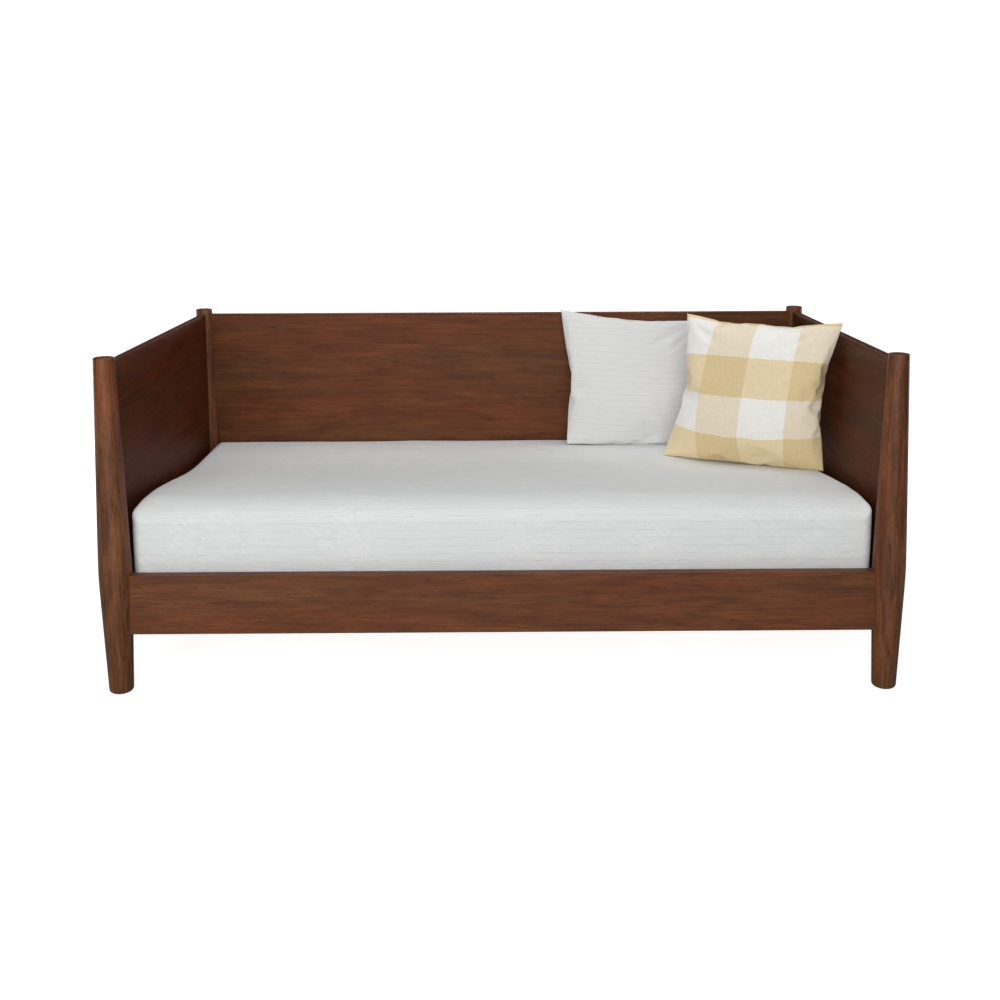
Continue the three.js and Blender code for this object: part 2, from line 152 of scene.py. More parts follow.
def new_object(name, mesh, body):
    """Links a mesh as a piece that rides on a CAD body."""
    piece = bpy.data.objects.new(name, mesh)
    bpy.context.scene.collection.objects.link(piece)
    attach(piece, body)
    return piece


def mesh_from(name, points, faces, smooth=True):
    """A mesh of points and faces, shaded smooth or flat."""
    mesh = bpy.data.meshes.new(name)
    mesh.from_pydata([tuple(p) for p in points], [], faces)
    mesh.polygons.foreach_set("use_smooth", [smooth] * len(mesh.polygons))
    mesh.update()
    return mesh


def lathe(profile, segments, centre):
    """Points and faces of a closed turned shape, from [radius, height] points."""
    points = [(centre[0], centre[1], profile[0][1])]
    for radius, z in profile[1:-1]:
        for step in range(segments):
            angle = 2 * math.pi * step / segments
            points.append((
                centre[0] + radius * math.cos(angle),
                centre[1] + radius * math.sin(angle),
                z,
            ))
    points.append((centre[0], centre[1], profile[-1][1]))
    rings = len(profile) - 2
    faces = []
    for step in range(segments):
        turn = (step + 1) % segments
        faces.append((0, 1 + turn, 1 + step))
        for ring in range(rings - 1):
            low = 1 + ring * segments
            high = low + segments
            faces.append((low + step, low + turn, high + turn, high + step))
        last = 1 + (rings - 1) * segments
        faces.append((last + step, last + turn, len(points) - 1))
    return points, faces


def box_mesh(name, low, high):
    """A box between two opposite corners."""
    corners = list(itertools.product(*zip(low, high)))
    faces = [(0, 1, 3, 2), (4, 6, 7, 5), (0, 4, 5, 1), (2, 3, 7, 6), (0, 2, 6, 4), (1, 5, 7, 3)]
    return mesh_from(name, corners, faces, smooth=False)


def cut(piece, tools):
    """Cuts tool meshes out of a piece for good."""
    for tool_mesh in tools:
        tool = bpy.data.objects.new("tool", tool_mesh)
        bpy.context.scene.collection.objects.link(tool)
        modifier = piece.modifiers.new("cut", "BOOLEAN")
        modifier.operation = "DIFFERENCE"
        modifier.solver = "EXACT"
        modifier.object = tool
        depsgraph = bpy.context.evaluated_depsgraph_get()
        result = bpy.data.meshes.new_from_object(piece.evaluated_get(depsgraph))
        piece.modifiers.clear()
        piece.data = result
        bpy.data.objects.remove(tool)
        bpy.data.meshes.remove(tool_mesh)


def finished_copy(node_name, piece_name, material, edge=0.0, segments=3):
    """A CAD node's shape with its flat faces whole, its edges eased and its curves smooth."""
    node = frame["nodes"][node_name]
    shape = bmesh.new()
    shape.from_mesh(node.data)
    bmesh.ops.remove_doubles(shape, verts=shape.verts, dist=1e-6)
    bmesh.ops.dissolve_limit(shape, angle_limit=math.radians(0.5), verts=shape.verts, edges=shape.edges)
    if edge:
        sharp = [e for e in shape.edges if e.is_manifold and e.calc_face_angle() > math.radians(50)]
        bmesh.ops.bevel(shape, geom=sharp, offset=edge, segments=segments, profile=0.5, affect="EDGES",
                        clamp_overlap=True)
    mesh = bpy.data.meshes.new(piece_name)
    shape.to_mesh(mesh)
    shape.free()
    mesh.set_sharp_from_angle(angle=math.radians(40))
    for polygon in mesh.polygons:
        polygon.use_smooth = max(abs(value) for value in polygon.normal) < 0.999
    mesh.materials.append(material)
    piece = new_object(piece_name, mesh, body_of(node)[0])
    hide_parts(node_name)
    return piece


# ----------------------------------------------------------------- materials


def colour(code):
    """Linear RGBA of an sRGB colour such as '5e3a28'."""
    parts = [int(code[i:i + 2], 16) / 255 for i in (0, 2, 4)]
    linear = [p / 12.92 if p <= 0.04045 else ((p + 0.055) / 1.055) ** 2.4 for p in parts]
    return (*linear, 1.0)


def socket_name(key):
    """'base_color' is the socket 'Base Color', and 'specular_ior_level' 'Specular IOR Level'."""
    return key.replace("_", " ").title().replace("Ior", "IOR")


class Finish:
    """A Principled material whose node tree is written as expressions."""

    def __init__(self, name, **constants):
        self.material = bpy.data.materials.new(name)
        self.material.use_nodes = True
        self.tree = self.material.node_tree
        self.shader = self.tree.nodes["Principled BSDF"]
        for key, value in constants.items():
            self.shader.inputs[socket_name(key)].default_value = value

    def feed(self, socket, value):
        if isinstance(value, bpy.types.NodeSocket):
            self.tree.links.new(value, socket)
        else:
            socket.default_value = value

    def node(self, kind, inputs, output=0, **settings):
        """Adds a node and returns one of its outputs. Inputs are by name or number."""
        node = self.tree.nodes.new("ShaderNode" + kind)
        for key, value in settings.items():
            setattr(node, key, value)
        for key, value in inputs.items():
            self.feed(node.inputs[key], value)
        return node.outputs[output]

    def place(self):
        return self.node("TexCoord", {}, "Object")

    def attribute(self, name):
        return self.node("Attribute", {}, "Vector", attribute_name=name)

    def stretch(self, vector, scale, offset=(0, 0, 0)):
        return self.node("Mapping", {"Vector": vector, "Scale": scale, "Location": offset})

    def axis(self, vector, axis):
        return self.node("SeparateXYZ", {0: vector}, axis)

    def noise(self, vector, scale, detail=3.0, roughness=0.5, distortion=0.0):
        return self.node("TexNoise", {
            "Vector": vector, "Scale": scale, "Detail": detail,
            "Roughness": roughness, "Distortion": distortion,
        })

    def math(self, operation, a, b=0.0):
        return self.node("Math", {0: a, 1: b}, operation=operation)

    def remap(self, value, low, high, to_low=0.0, to_high=1.0):
        """Maps low..high smoothly onto to_low..to_high, and holds the ends."""
        return self.node("MapRange", {0: value, 1: low, 2: high, 3: to_low, 4: to_high},
                         interpolation_type="SMOOTHSTEP")

    def mix(self, factor, a, b, blend="MIX"):
        return self.node("Mix", {0: factor, 6: a, 7: b}, 2, data_type="RGBA", blend_type=blend)

    def shade(self, base, value):
        """Multiplies a colour by a grey value."""
        grey = self.node("CombineColor", {0: value, 1: value, 2: value})
        return self.mix(1.0, base, grey, blend="MULTIPLY")

    def bump(self, height, distance, strength=1.0, under=None):
        inputs = {"Height": height, "Distance": distance, "Strength": strength}
        if under is not None:
            inputs["Normal"] = under
        return self.node("Bump", inputs)

    def done(self, **sockets):
        for key, value in sockets.items():
            self.feed(self.shader.inputs[socket_name(key)], value)
        return self.material


def along(grain, squeeze):
    """A scale that stretches a pattern along the grain axis."""
    return tuple(squeeze if axis == grain else 1 for axis in "XYZ")


def walnut(name, grain, seed, tone=1.0, depth=1.0, gloss=0.25, figured=1.0):
    """Dark satin walnut, its grain along one axis of the bed.

    More depth is darker and redder. Figured sets how strongly its streaks show.
    """
    f = Finish(name, specular_ior_level=gloss)
    offset = (seed * 1.7, seed * 0.9, seed * 1.3)
    wood = f.stretch(f.place(), along(grain, 0.15), offset)
    streaks = f.stretch(f.place(), along(grain, 0.05), offset)
    drift = f.noise(wood, 7.0, 2.0)
    patches = f.noise(wood, 30.0, 4.0, 0.6, 0.5)
    figure = f.noise(streaks, 130.0, 5.0, 0.65, 0.6)
    fibre = f.noise(streaks, 520.0, 3.0, 0.6)
    flecks = f.remap(f.noise(wood, 260.0, 2.0, 0.5), 0.60, 0.72)
    redness = f.remap(drift, 0.36, 0.64)
    light = f.mix(redness, colour("6d4327"), colour("733e22"))
    dark = f.mix(redness, colour("56341f"), colour("5b311b"))
    base = f.mix(f.remap(patches, 0.32, 0.66, 0.5 - 0.5 * figured, 0.5 + 0.5 * figured), dark, light)
    darkest, lightest = tone * (1 - 0.26 * figured), tone * (1 + 0.22 * figured)
    base = f.shade(base, f.remap(figure, 0.32, 0.68, darkest, lightest))
    base = f.shade(base, f.remap(fibre, 0.25, 0.75, 0.84, 1.10))
    base = f.mix(f.math("MULTIPLY", flecks, 0.5 * figured), base, colour("2a150b"))
    base = f.node("Gamma", {"Color": base, "Gamma": depth})
    roughness = f.remap(fibre, 0.3, 0.7, 0.44, 0.56)
    pores = f.bump(fibre, 0.0004, 0.25)
    return f.done(base_color=base, roughness=roughness, normal=f.bump(flecks, -0.0006, 0.3, pores))


def pine(name, grain):
    """Planed, unfinished softwood with its growth lines along one axis."""
    f = Finish(name)
    wood = f.stretch(f.place(), along(grain, 0.15), (0.3, 0.7, 0.2))
    rings = f.noise(wood, 60.0, 3.0, 0.5, 1.2)
    fibre = f.noise(wood, 400.0, 3.0)
    base = f.mix(f.remap(rings, 0.35, 0.65), colour("d9bd8c"), colour("b98f5a"))
    base = f.shade(base, f.remap(fibre, 0.25, 0.75, 0.88, 1.06))
    return f.done(base_color=base, roughness=f.remap(fibre, 0.3, 0.7, 0.6, 0.78),
                  normal=f.bump(fibre, 0.0005, 0.3))


def zinc(name):
    """Bright zinc plating, slightly blotched and brushed."""
    f = Finish(name, metallic=1.0)
    blotch = f.noise(f.place(), 120.0, 3.0)
    brush = f.noise(f.place(), 900.0, 2.0)
    base = f.mix(f.remap(blotch, 0.3, 0.7), colour("a9abad"), colour("bfc0bb"))
    return f.done(base_color=base, roughness=f.remap(brush, 0.3, 0.7, 0.26, 0.42),
                  normal=f.bump(brush, 0.0001, 0.2))


def moulded_nylon(name):
    """Dark nylon with a fine moulded grit."""
    f = Finish(name)
    grit = f.noise(f.place(), 700.0, 3.0)
    base = f.mix(f.remap(grit, 0.3, 0.7), colour("2b2b2c"), colour("3d3d3e"))
    return f.done(base_color=base, roughness=f.remap(grit, 0.3, 0.7, 0.5, 0.68),
                  normal=f.bump(grit, 0.0002, 0.3))


# ------------------------------------------------------------- timber pieces


def post_radius(z):
    """A taper up to the knee and a longer taper to the top."""
    leg = FOOT_RADIUS + (KNEE_RADIUS - FOOT_RADIUS) * z / KNEE_HEIGHT
    above = (z - KNEE_HEIGHT) / (POST_TOP - KNEE_HEIGHT)
    upper = KNEE_RADIUS + (TOP_RADIUS - KNEE_RADIUS) * above
    return (leg + upper - math.hypot(leg - upper, KNEE_SOFTNESS)) / 2


def quarter_turn(steps):
    """(sine, cosine) pairs from 0 to 90 degrees."""
    return [(math.sin(a), math.cos(a)) for a in (math.pi / 2 * i / steps for i in range(steps + 1))]


def post_profile():
    """[radius, height] points of a post, from the middle of its foot to the middle of its top."""
    foot_z = POST_BOTTOM + FOOT_ROUNDING
    crown_z = POST_TOP - TOP_ROUNDING
    foot = post_radius(foot_z) - FOOT_ROUNDING
    crown = post_radius(crown_z) - TOP_ROUNDING
    low = [(foot + FOOT_ROUNDING * s, foot_z - FOOT_ROUNDING * c) for s, c in quarter_turn(8)]
    high = [(crown + TOP_ROUNDING * c, crown_z + TOP_ROUNDING * s) for s, c in quarter_turn(6)]
    above_knee = (0.009, 0.018, 0.03, 0.05)
    knee = [KNEE_HEIGHT + dz for dz in (*[-dz for dz in above_knee[::-1]], 0, *above_knee)]
    leg = np.linspace(foot_z, knee[0], 10)[1:-1]
    shaft = np.linspace(knee[-1], crown_z, 16)[1:-1]
    middle = [(post_radius(z), z) for z in (*leg, *knee, *shaft)]
    return [(0, POST_BOTTOM), *low, *middle, *high, (0, POST_TOP)]


def housing(x, y, side_x, side_y, thickness, top, along_x):
    """The slot in a post for the end of a board that runs along X or along Y."""
    half = thickness / 2 + HOUSING_GAP
    near, far = HOUSING_FLOOR, KNEE_RADIUS + 0.01
    bottom, top = BOARD_BOTTOM - HOUSING_GAP, top + HOUSING_GAP
    if along_x:
        xs = sorted((x - side_x * near, x - side_x * far))
        return box_mesh("housing", (xs[0], y - half, bottom), (xs[1], y + half, top))
    ys = sorted((y - side_y * near, y - side_y * far))
    return box_mesh("housing", (x - half, ys[0], bottom), (x + half, ys[1], top))


def make_post(end, side, seed):
    """A turned post with the housings for its two boards cut into it."""
    side_x, side_y = SIDES[side], ENDS[end]
    x, y = side_x * POST_X, side_y * POST_Y
    points, faces = lathe(post_profile(), 96, (x, y))
    name = f"turned_post_{end}_{side}"
    mesh = mesh_from(name, points, faces)
    piece = new_object(name, mesh, "frame")
    board = (RAIL_THICKNESS, RAIL_TOP) if end == "front" else (PANEL_THICKNESS, PANEL_TOP)
    cut(piece, [
        housing(x, y, side_x, side_y, *board, along_x=True),
        housing(x, y, side_x, side_y, PANEL_THICKNESS, PANEL_TOP, along_x=False),
    ])
    piece.data.set_sharp_from_angle(angle=math.radians(40))
    piece.data.materials.append(walnut(f"walnut_{end}_{side}_post", "Z", seed, tone=1.10, figured=1.25))
    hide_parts(f"post_{end}_{side}")


def make_posts():
    """The four posts, each with its glide. Every post is cut from its own piece of wood."""
    nylon = moulded_nylon("nylon")
    for number, (end, side) in enumerate((e, s) for e in ENDS for s in SIDES):
        make_post(end, side, 1.3 + number)
        finished_copy(f"glide_{end}_{side}", f"floor_glide_{end}_{side}", nylon, 0.0003)


def make_boards():
    """The back board, the front rail and the side boards, with the lippings on their top edges."""
    back = walnut("walnut_back", "X", 5.1, tone=1.06, depth=1.02, gloss=0.15, figured=0.7)
    back_edge = walnut("walnut_back_edge", "X", 6.4)
    rail = walnut("walnut_rail", "X", 7.9, figured=0.8)
    finished_copy("back_panel", "back_board", back, PANEL_EDGE)
    finished_copy("back_panel_lipping", "back_board_lipping", back_edge, SOLID_EDGE)
    finished_copy("front_rail", "front_rail_board", rail, SOLID_EDGE)
    for side, seed in (("left", 8.6), ("right", 9.7)):
        # Painted shade: the side boards take a darker, redder copy of the walnut than the back board
        # and rail, standing for the shade on their inner faces; it darkens their outer faces too.
        panel = walnut(f"walnut_{side}", "Y", seed, tone=0.95, depth=1.22, gloss=0.10, figured=0.6)
        edge = walnut(f"walnut_{side}_edge", "Y", seed + 0.6, depth=1.10, gloss=0.2)
        finished_copy(f"{side}_side_panel", f"{side}_side_board", panel, PANEL_EDGE)
        finished_copy(f"{side}_side_lipping", f"{side}_side_board_lipping", edge, SOLID_EDGE)


def make_mattress_support():
    """The cleats and slats that carry the mattress, and the zinc hardware."""
    cleat_pine = pine("pine_cleat", "X")
    for end in ENDS:
        finished_copy(f"{end}_cleat", f"{end}_cleat_strip", cleat_pine, 0.0010)
    slat_pine = pine("pine_slat", "Y")
    for number in range(1, SLAT_COUNT + 1):
        finished_copy(f"slat_{number:02d}", f"bed_slat_{number:02d}", slat_pine, 0.0020)
    steel = zinc("zinc_steel")
    for name in HARDWARE:
        finished_copy(name, f"zinc_{name}", steel, 0.0004, 2)


def webbing(name):
    """Herringbone cotton webbing."""
    f = Finish(name, sheen_weight=0.2, sheen_roughness=0.5)
    here = f.place()
    ridge = f.node("TexWave", {"Vector": here, "Scale": 160.0, "Distortion": 1.0},
                   "Fac", wave_type="BANDS", bands_direction="DIAGONAL")
    base = f.mix(ridge, colour("b9b2a1"), colour("ded8c9"))
    return f.done(base_color=base, roughness=f.remap(ridge, 0, 1, 0.8, 0.95),
                  normal=f.bump(ridge, 0.0004, 0.6))


def strap_shape(low, high, steps=240):
    """Points and faces of a flat ribbon with thin selvedges that sags between the slats."""
    first_slat = -(SLAT_FIELD - SLAT_WIDTH) / 2
    pitch = (SLAT_FIELD - SLAT_WIDTH) / (SLAT_COUNT - 1)
    selvedge_width, selvedge_thinning = 0.001, 0.0003
    across = (low.y, low.y + selvedge_width, high.y - selvedge_width, high.y)
    points = []
    for step in range(steps + 1):
        x = low.x + (high.x - low.x) * step / steps
        sag = STRAP_SAG * (1 - math.cos(2 * math.pi * (x - first_slat) / pitch)) / 2
        for z, inward in ((low.z, 1), (high.z, -1)):
            for column, y in enumerate(across):
                thinning = selvedge_thinning if column in (0, 3) else 0.0
                points.append((x, y, z - sag + inward * thinning))
    loop = (0, 1, 2, 3, 7, 6, 5, 4)
    ring = len(loop)
    faces = []
    for start in range(0, steps * ring, ring):
        for a, b in zip(loop, loop[1:] + loop[:1]):
            faces.append((start + a, start + b, start + ring + b, start + ring + a))
    faces.append(loop[::-1])
    faces.append(tuple(steps * ring + i for i in loop))
    return points, faces


def make_straps():
    """The two straps under the slats."""
    material = webbing("strap_webbing")
    for end in ENDS:
        mesh = mesh_from(f"slat_webbing_{end}", *strap_shape(*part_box(f"slat_strap_{end}")))
        mesh.set_sharp_from_angle(angle=math.radians(50))
        mesh.materials.append(material)
        piece = new_object(f"slat_webbing_{end}", mesh, "frame")
        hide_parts(f"slat_strap_{end}")


# ------------------------------------------------------------------ mattress


def box_lattice(counts):
    """Lattice points and quads of a box's top and sides, open underneath."""
    nx, ny, nz = counts
    index, lattice, faces = {}, [], []

    def at(i, j, k):
        if (i, j, k) not in index:
            index[i, j, k] = len(lattice)
            lattice.append((i, j, k))
        return index[i, j, k]

    for i in range(nx):
        for j in range(ny):
            faces.append((at(i, j, nz), at(i + 1, j, nz), at(i + 1, j + 1, nz), at(i, j + 1, nz)))
    for k in range(nz):
        for i in range(nx):
            faces.append((at(i, 0, k), at(i + 1, 0, k), at(i + 1, 0, k + 1), at(i, 0, k + 1)))
            faces.append((at(i + 1, ny, k), at(i, ny, k), at(i, ny, k + 1), at(i + 1, ny, k + 1)))
        for j in range(ny):
            faces.append((at(0, j + 1, k), at(0, j, k), at(0, j, k + 1), at(0, j + 1, k + 1)))
            faces.append((at(nx, j, k), at(nx, j + 1, k), at(nx, j + 1, k + 1), at(nx, j, k + 1)))
    return np.array(lattice, float), faces


def mattress_top(y):
    """Height of the mattress top at a distance y towards the back."""
    t = np.clip((SLOPE_TO - y) / (SLOPE_TO - SLOPE_FROM), 0, 1)
    return REAR_TOP + (FRONT_TOP - REAR_TOP) * t * t * (3 - 2 * t)


def round_corners(x, y, half_x, half_y):
    """Moves the points of a rectangle so that its upright corners are round."""
    u = np.clip(1 - (half_x - abs(x)) / CORNER_RADIUS, 0, 1)
    v = np.clip(1 - (half_y - abs(y)) / CORNER_RADIUS, 0, 1)
    inward = CORNER_RADIUS * (u > 0) * (v > 0)
    x = x - np.sign(x) * inward * u * (1 - np.sqrt(1 - v ** 2 / 2))
    y = y - np.sign(y) * inward * v * (1 - np.sqrt(1 - u ** 2 / 2))
    return x, y


def soft_box(inset, bottom, step):
    """The mattress shape, open underneath: points, quads and flat cloth coordinates."""
    half_x, half_y = MATTRESS_HALF_X - inset, MATTRESS_HALF_Y - inset
    wall_steps, roll_steps = round(WALL_HEIGHT / step), max(round(ROLL_HEIGHT / step), 3)
    counts = [round(2 * half_x / step), round(2 * half_y / step), wall_steps + roll_steps]
    lattice, faces = box_lattice(counts)
    x = (lattice[:, 0] / counts[0] * 2 - 1) * half_x
    y = (lattice[:, 1] / counts[1] * 2 - 1) * half_y
    wall = np.minimum(lattice[:, 2] / wall_steps, 1)  # 0 at the bottom, 1 where the roll starts
    share = np.minimum((counts[2] - lattice[:, 2]) / roll_steps, 1)  # 0 on the top, 1 there

    reach_y = np.where(y < 0, FRONT_REACH, REAR_REACH)
    into_x = np.clip(1 - (half_x - abs(x)) / END_REACH, 0, 1)
    into_y = np.clip(1 - (half_y - abs(y)) / reach_y, 0, 1)
    into = np.maximum(np.maximum(into_x, into_y), 1e-9)
    angle = np.pi / 4 * into * (1 + share)
    a, b = into_x * np.sin(angle) / into, into_y * np.sin(angle) / into
    weight = into_x ** 2 / np.maximum(into_x ** 2 + into_y ** 2, 1e-9)
    drop = weight * END_DROP + (1 - weight) * np.where(y < 0, FRONT_DROP, REAR_DROP)
    roll_height = mattress_top(y) - inset - drop * (1 - np.cos(angle)) - bottom
    swell = CROWN * (1 - (x / half_x) ** 4) * (wall + 1 - share) / 2
    z = bottom + roll_height * wall + swell

    # cloth coordinates: the top and the four sides laid flat
    hanging = share * ROLL_HEIGHT + (1 - wall) * roll_height
    on_end = (into_x > 1 - 1e-9) & (share > 0)
    on_side = (into_y > 1 - 1e-9) & (share > 0) & ~on_end
    flat_x = np.where(on_end, np.sign(x) * (half_x + hanging), x)
    flat_y = np.where(on_side, np.sign(y) * (half_y + hanging), y)
    x = np.where(into_x > 0, np.sign(x) * (half_x - END_REACH * (1 - a)), x)
    y = np.where(into_y > 0, np.sign(y) * (half_y - reach_y * (1 - b)), y)
    x, y = round_corners(x, y, half_x, half_y)
    return np.stack([x, y, z], 1), faces, np.stack([flat_x, flat_y, np.zeros(len(x))], 1)


def ripple(points, scale, seed):
    """Smooth random values from -1 to 1 at each point."""
    offset = Vector((seed * 3.7, seed * 1.9, seed * 2.3))
    return np.array([noise.noise(Vector(p) * scale + offset) for p in points])


def store_vectors(mesh, name, values):
    """Keeps a vector for each point, which a material can read."""
    layer = mesh.attributes.new(name, "FLOAT_VECTOR", "POINT")
    layer.data.foreach_set("vector", np.asarray(values, np.float32).ravel())


def quilting(name):
    """White cotton cover: faint woven pinstripes, fine ribs and a tone-on-tone leaf pattern."""
    f = Finish(name, sheen_weight=0.15, sheen_roughness=0.6)
    cloth = f.attribute("fabric")
    v = f.axis(cloth, 1)
    wander = f.math("MULTIPLY", f.math("SUBTRACT", f.noise(cloth, 4.0, 2.0), 0.5), 0.006)
    phase = f.math("FRACT", f.math("DIVIDE", f.math("ADD", v, wander), COVER_STRIPE_PITCH))
    line = f.remap(f.math("ABSOLUTE", f.math("SUBTRACT", phase, 0.5)), 0.02, 0.10, 1.0, 0.0)
    broken = f.remap(f.noise(f.stretch(cloth, (12, 60, 1)), 1.0, 2.0), 0.35, 0.6)
    line = f.math("MULTIPLY", line, broken)
    ribs = f.noise(f.stretch(cloth, (14, 330, 1)), 1.0, 2.0)
    bent = f.mix(0.035, cloth, f.node("TexNoise", {"Vector": cloth, "Scale": 7.0}, 1), blend="ADD")
    leaf = f.node("TexVoronoi", {"Vector": f.stretch(bent, (1, 2.1, 1)), "Scale": 15.0}, "Distance",
                  feature="DISTANCE_TO_EDGE")
    vein = f.node("TexWave", {"Vector": bent, "Scale": 20.0, "Distortion": 3.0}, "Fac",
                  wave_type="BANDS", bands_direction="DIAGONAL")
    leaf = f.math("MULTIPLY", f.remap(leaf, 0.04, 0.12), f.remap(vein, 0.2, 0.8, 0.45, 1.0))
    leaf = f.math("MULTIPLY", leaf, f.remap(f.noise(cloth, 3.2, 1.0), 0.42, 0.56))
    thread = f.noise(f.stretch(cloth, (1, 3, 1)), 700.0, 2.0)
    pebble = f.noise(cloth, 210.0, 2.0)
    base = f.mix(f.math("MULTIPLY", line, 0.42), colour("dbdddd"), colour("bdbfc1"))
    base = f.mix(f.math("MULTIPLY", leaf, 0.45), base, colour("e4e5e3"))
    base = f.shade(base, f.remap(ribs, 0.3, 0.7, 0.965, 1.02))
    base = f.shade(base, f.remap(pebble, 0.3, 0.7, 0.975, 1.015))
    low = f.bump(thread, 0.0006, 0.25)
    low = f.bump(pebble, 0.0012, 0.35, low)
    low = f.bump(ribs, 0.0008, 0.35, low)
    low = f.bump(leaf, 0.0008, 0.4, low)
    return f.done(base_color=base, roughness=f.remap(thread, 0.3, 0.7, 0.8, 0.95),
                  normal=f.bump(line, -0.0008, 0.35, low))


def ticking(name):
    """Knitted mattress ticking."""
    f = Finish(name, sheen_weight=0.1)
    knit = f.noise(f.place(), 500.0, 2.0)
    blotch = f.noise(f.place(), 8.0, 3.0)
    base = f.mix(f.remap(blotch, 0.3, 0.7), colour("e6e1d0"), colour("ece9dd"))
    base = f.shade(base, f.remap(knit, 0.3, 0.7, 0.93, 1.03))
    return f.done(base_color=base, roughness=f.remap(knit, 0.3, 0.7, 0.85, 0.95),
                  normal=f.bump(knit, 0.0008, 0.4))


def make_cover():
    """The fitted cover: full sides, a dented top and fine puckers where the rail grips it."""
    hem = MATTRESS_BOTTOM + HEM_HEIGHT
    points, faces, flat = soft_box(0, hem, COVER_CELL)
    x, y, z = points.T
    side = np.clip((mattress_top(y) - z) / FRONT_DROP, 0, 1)
    outward = np.stack([x / MATTRESS_HALF_X, y / MATTRESS_HALF_Y], 1) ** 7
    lumps = 0.0020 * ripple(points * (1, 1, 0.4), 6.0, 4)
    gripped = np.exp(-((z - PUCKER_HEIGHT) / PUCKER_SPREAD) ** 2)
    pucker = PUCKER_DEPTH * ripple(points * (1, 1, 0.25), 42.0, 2) * gripped
    tucked = -TUCK_DEPTH * np.exp(-((z - TUCK_HEIGHT) / TUCK_SPREAD) ** 2)
    full = 0.002 * np.sin(np.clip((z - RAIL_TOP) / 0.12, 0, 1) * np.pi)
    points[:, 0] += outward[:, 0] * side * lumps
    points[:, 1] += outward[:, 1] * (side * (lumps + tucked + full) + pucker)
    dents = 0.0024 * ripple(points, 3.2, 1) + 0.0010 * ripple(points * (1, 1.8, 1), 11.0, 6)
    points[:, 2] += dents * (1 - 0.8 * side)
    points[:, 1] += MATTRESS_Y
    mesh = mesh_from("fitted_cover", points, faces)
    store_vectors(mesh, "fabric", flat)
    mesh.materials.append(quilting("cover_quilting"))
    piece = new_object("fitted_cover", mesh, "mattress")
    shell = piece.modifiers.new("cloth thickness", "SOLIDIFY")
    shell.thickness = COVER_THICKNESS
    shell.offset = -1
    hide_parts("mattress_cover")


def make_core():
    """The mattress inside the cover, seen from below between the slats."""
    points, faces, _ = soft_box(COVER_THICKNESS + FOAM_GAP, MATTRESS_BOTTOM, FOAM_CELL)
    points[:, 1] += MATTRESS_Y
    mesh = mesh_from("mattress_foam", points, faces)
    shape = bmesh.new()
    shape.from_mesh(mesh)
    rim = [e for e in shape.edges if e.is_boundary]
    bmesh.ops.holes_fill(shape, edges=rim)
    bmesh.ops.recalc_face_normals(shape, faces=shape.faces)
    shape.to_mesh(mesh)
    shape.free()
    mesh.materials.append(ticking("ticking"))
    piece = new_object("mattress_foam", mesh, "mattress")
    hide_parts("mattress_core")


# ------------------------------------------------------------------ cushions

CUSHION_CELLS = 56
CUSHION_SIZE = 0.50
CUSHION_STRIPE_PITCH = 0.0215
TIP_SHARE = 0.985  # of an inflated cushion's reach, at which its corner tips are held
# A cushion thins to this share of its thickness over the lowest part of its height.
THIN_SHARE, THIN_HEM = 0.45, 0.32
# The creases out of each corner: depth, where they are deepest, and how far they run.
GATHER_DEPTH, GATHER_START, GATHER_RUN = 0.0022, 0.075, 0.045
SEAM_MARGIN = 0.025  # the creases fade out this close to a seam


def flat_cushion(name, size, belly):
    """Two square layers joined along their edge, belly apart at the middle."""
    n = CUSHION_CELLS
    index, points, flat, faces = {}, [], [], []

    def at(layer, i, j):
        key = (0 if i in (0, n) or j in (0, n) else layer, i, j)
        if key not in index:
            u, v = 2 * i / n - 1, 2 * j / n - 1
            uneven = 0.0015 * noise.noise(Vector((u * 6, v * 6, size * 40 + key[0])))
            bulge = belly / 2 * (1 - u ** 4) * (1 - v ** 4)
            index[key] = len(points)
            points.append((u * size / 2, v * size / 2, uneven + (bulge if key[0] == 0 else -bulge)))
            flat.append((u * size / 2, v * size / 2, float(key[0])))
        return index[key]

    for i in range(n):
        for j in range(n):
            faces.append((at(0, i, j), at(0, i + 1, j), at(0, i + 1, j + 1), at(0, i, j + 1)))
            faces.append((at(1, i, j), at(1, i, j + 1), at(1, i + 1, j + 1), at(1, i + 1, j)))
    mesh = mesh_from(name, points, faces)
    store_vectors(mesh, "fabric", flat)
    return mesh


def inflate(piece, pressure, frames):
    """Blows a closed cloth shape up by simulation and keeps the result."""
    cloth = piece.modifiers.new("stuffing", "CLOTH")
    settings = cloth.settings
    settings.quality = 6
    settings.mass = 0.25
    settings.tension_stiffness = 40
    settings.compression_stiffness = 40
    settings.shear_stiffness = 12
    settings.bending_stiffness = 0.4
    settings.use_pressure = True
    settings.uniform_pressure_force = pressure
    settings.effector_weights.gravity = 0
    settings.air_damping = 4
    cloth.collision_settings.use_collision = False
    scene = bpy.context.scene
    scene.frame_start, scene.frame_end = 1, frames
    for number in range(1, frames + 1):
        scene.frame_set(number)
    shape = piece.evaluated_get(bpy.context.evaluated_depsgraph_get())
    moved = np.array([v.co for v in shape.data.vertices])
    piece.modifiers.clear()
    scene.frame_set(1)
    return moved


def gathers(flat):
    """Depth of the small creases that run out of each corner of a cushion."""
    depth = np.zeros(len(flat))
    for number, (side_x, side_y) in enumerate([(-1, -1), (1, -1), (1, 1), (-1, 1)]):
        dx = CUSHION_SIZE / 2 - side_x * flat[:, 0]
        dy = CUSHION_SIZE / 2 - side_y * flat[:, 1]
        away, turn = np.hypot(dx, dy), np.arctan2(dy, dx)
        wave = np.sin(turn * 15 + 8 * ripple(flat, 5.0, 3 + number))
        depth += GATHER_DEPTH * wave * np.exp(-((away - GATHER_START) / GATHER_RUN) ** 2)
    from_seam = CUSHION_SIZE / 2 - abs(flat[:, :2]).max(axis=1)
    return depth * np.clip(from_seam / SEAM_MARGIN, 0, 1)


